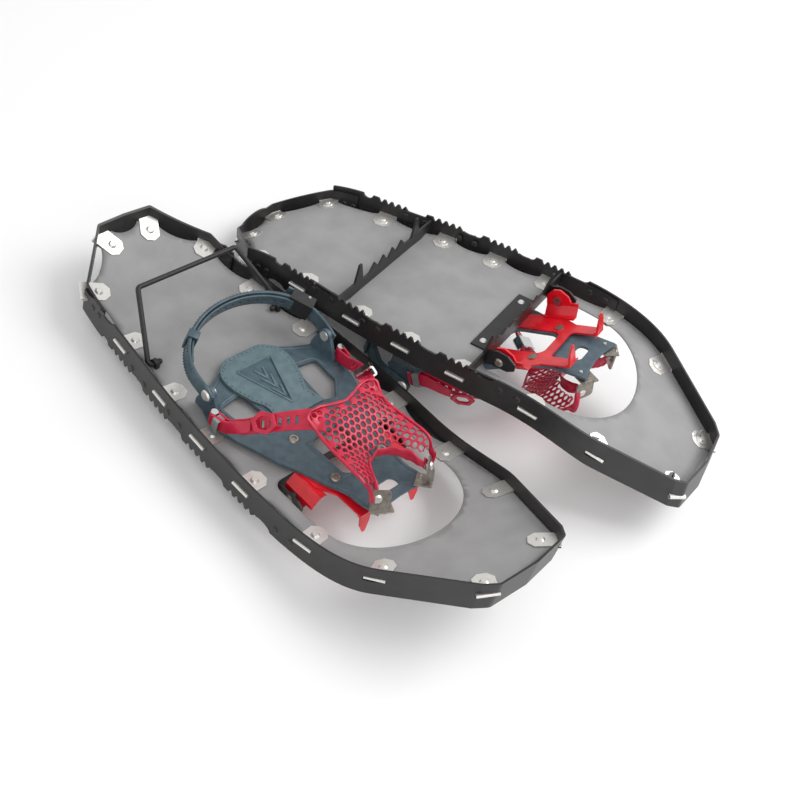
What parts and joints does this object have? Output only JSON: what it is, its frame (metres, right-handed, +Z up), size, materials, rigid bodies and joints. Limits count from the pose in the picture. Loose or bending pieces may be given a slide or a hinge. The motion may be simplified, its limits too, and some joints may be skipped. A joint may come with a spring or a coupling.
{
  "type": "pair of snowshoes",
  "caption": "Pair of backcountry snowshoes: toothed perimeter frame, riveted grey fabric deck, hinged red crampon binding with a net forefoot strap, cam-buckle heel strap and wire heel lifter.",
  "frame": {"origin": "middle of the pair's bounding box in plan, on the floor under the standing shoe's teeth", "axes": "+Y to the toe of the standing (left) shoe, +X to its right, +Z up; the turned-over shoe lies on the -X side, turned 12 degrees"},
  "size_m": [0.453, 0.5736, 0.1363],
  "materials": {
    "black_frame": "black powder coat, satin",
    "deck_fabric": "coated grey fabric, fine weave",
    "stainless_steel": "pressed stainless",
    "bracket_steel": "satin steel",
    "black_plastic": "matte",
    "base_plastic": "moulded, fine grain",
    "red_steel": "red powder coat",
    "net_rubber": "moulded elastomer, satin",
    "chrome_wire": "polished",
    "clear_plastic": "translucent grey",
    "pad_plastic": "moulded, fine grain",
    "strap_rubber": "moulded elastomer",
    "black_wire": "black coated steel wire"
  },
  "bodies": {
    "left_frame": {"left_side_frame": "black_frame", "left_tail_frame": "black_frame", "left_blade_rivets": "black_frame", "left_deck": "deck_fabric", "left_deck_clips": "stainless_steel", "left_clip_rivets": "stainless_steel", "left_clip_washers": "stainless_steel", "left_front_crossmember": "black_frame", "left_rear_crossmember": "black_frame", "left_deck_rivets": "stainless_steel", "left_hinge_pins": "bracket_steel", "left_hinge_bushes": "black_plastic", "left_lifter_pivots": "black_plastic"},
    "left_binding": {"left_binding_base": "base_plastic", "left_crampon": "red_steel", "left_crampon_rivets": "bracket_steel", "left_toe_brackets": "bracket_steel", "left_toe_bracket_rivets": "stainless_steel", "left_forefoot_net": "net_rubber", "left_net_posts": "chrome_wire", "left_net_buckle": "chrome_wire", "left_net_keeper": "clear_plastic", "left_heel_pad": "pad_plastic", "left_tower_rivets": "stainless_steel"},
    "left_heel_strap": {"left_heel_strap": "strap_rubber", "left_heel_buckle_frame": "black_plastic", "left_heel_buckle_pin": "bracket_steel", "left_heel_keeper": "strap_rubber"},
    "left_buckle_cam": {"left_heel_buckle_cam": "base_plastic"},
    "left_lifter": {"left_heel_lifter": "black_wire"},
    "right_frame": {"right_side_frame": "black_frame", "right_tail_frame": "black_frame", "right_blade_rivets": "black_frame", "right_deck": "deck_fabric", "right_deck_clips": "stainless_steel", "right_clip_rivets": "stainless_steel", "right_clip_washers": "stainless_steel", "right_front_crossmember": "black_frame", "right_rear_crossmember": "black_frame", "right_deck_rivets": "stainless_steel", "right_hinge_pins": "bracket_steel", "right_hinge_bushes": "black_plastic", "right_lifter_pivots": "black_plastic"},
    "right_binding": {"right_binding_base": "base_plastic", "right_crampon": "red_steel", "right_crampon_rivets": "bracket_steel", "right_toe_brackets": "bracket_steel", "right_toe_bracket_rivets": "stainless_steel", "right_forefoot_net": "net_rubber", "right_net_posts": "chrome_wire", "right_net_buckle": "chrome_wire", "right_net_keeper": "clear_plastic", "right_heel_pad": "pad_plastic", "right_tower_rivets": "stainless_steel"},
    "right_heel_strap": {"right_heel_strap": "strap_rubber", "right_heel_buckle_frame": "black_plastic", "right_heel_buckle_pin": "bracket_steel", "right_heel_keeper": "strap_rubber"},
    "right_buckle_cam": {"right_heel_buckle_cam": "base_plastic"},
    "right_lifter": {"right_heel_lifter": "black_wire"}
  },
  "joints": [
    {"name": "right_shoe_lift", "type": "slide", "parent": "left_frame", "child": "right_frame", "axis": [0, 0, 1], "range_m": [0, 0.3]},
    {"name": "left_binding_hinge", "type": "hinge", "parent": "left_frame", "child": "left_binding", "pos_m": [0.12019, 0.05563, 0.0255], "axis": [-1, 0, 0], "range_deg": [0, 70]},
    {"name": "left_heel_strap_swing", "type": "hinge", "parent": "left_binding", "child": "left_heel_strap", "pos_m": [0.12019, -0.05736, 0.0615], "axis": [-1, 0, 0], "range_deg": [-18, 45]},
    {"name": "left_buckle_cam_hinge", "type": "hinge", "parent": "left_heel_strap", "child": "left_buckle_cam", "pos_m": [0.0418, -0.09483, 0.07022], "axis": [0, -0.2267, -0.974], "range_deg": [0, 80]},
    {"name": "left_lifter_hinge", "type": "hinge", "parent": "left_frame", "child": "left_lifter", "pos_m": [0.12019, -0.12837, 0.0385], "axis": [-1, 0, 0], "range_deg": [-32, 60]},
    {"name": "right_binding_hinge", "type": "hinge", "parent": "right_frame", "child": "right_binding", "pos_m": [-0.10961, 0.06714, 0.09931], "axis": [0.9784, 0.2067, 0], "range_deg": [-13, 48.5]},
    {"name": "right_heel_strap_swing", "type": "hinge", "parent": "right_binding", "child": "right_heel_strap", "pos_m": [-0.09319, -0.01055, 0.01122], "axis": [0.9784, 0.2067, 0], "range_deg": [0, 46]},
    {"name": "right_buckle_cam_hinge", "type": "hinge", "parent": "right_heel_strap", "child": "right_buckle_cam", "pos_m": [-0.16195, -0.06434, 0.01303], "axis": [0.0097, -0.0461, -0.9989], "range_deg": [0, 80]},
    {"name": "right_lifter_hinge", "type": "hinge", "parent": "right_frame", "child": "right_lifter", "pos_m": [-0.07243, -0.10882, 0.05831], "axis": [0.9784, 0.2067, 0], "range_deg": [-2, 100]}
  ]
}
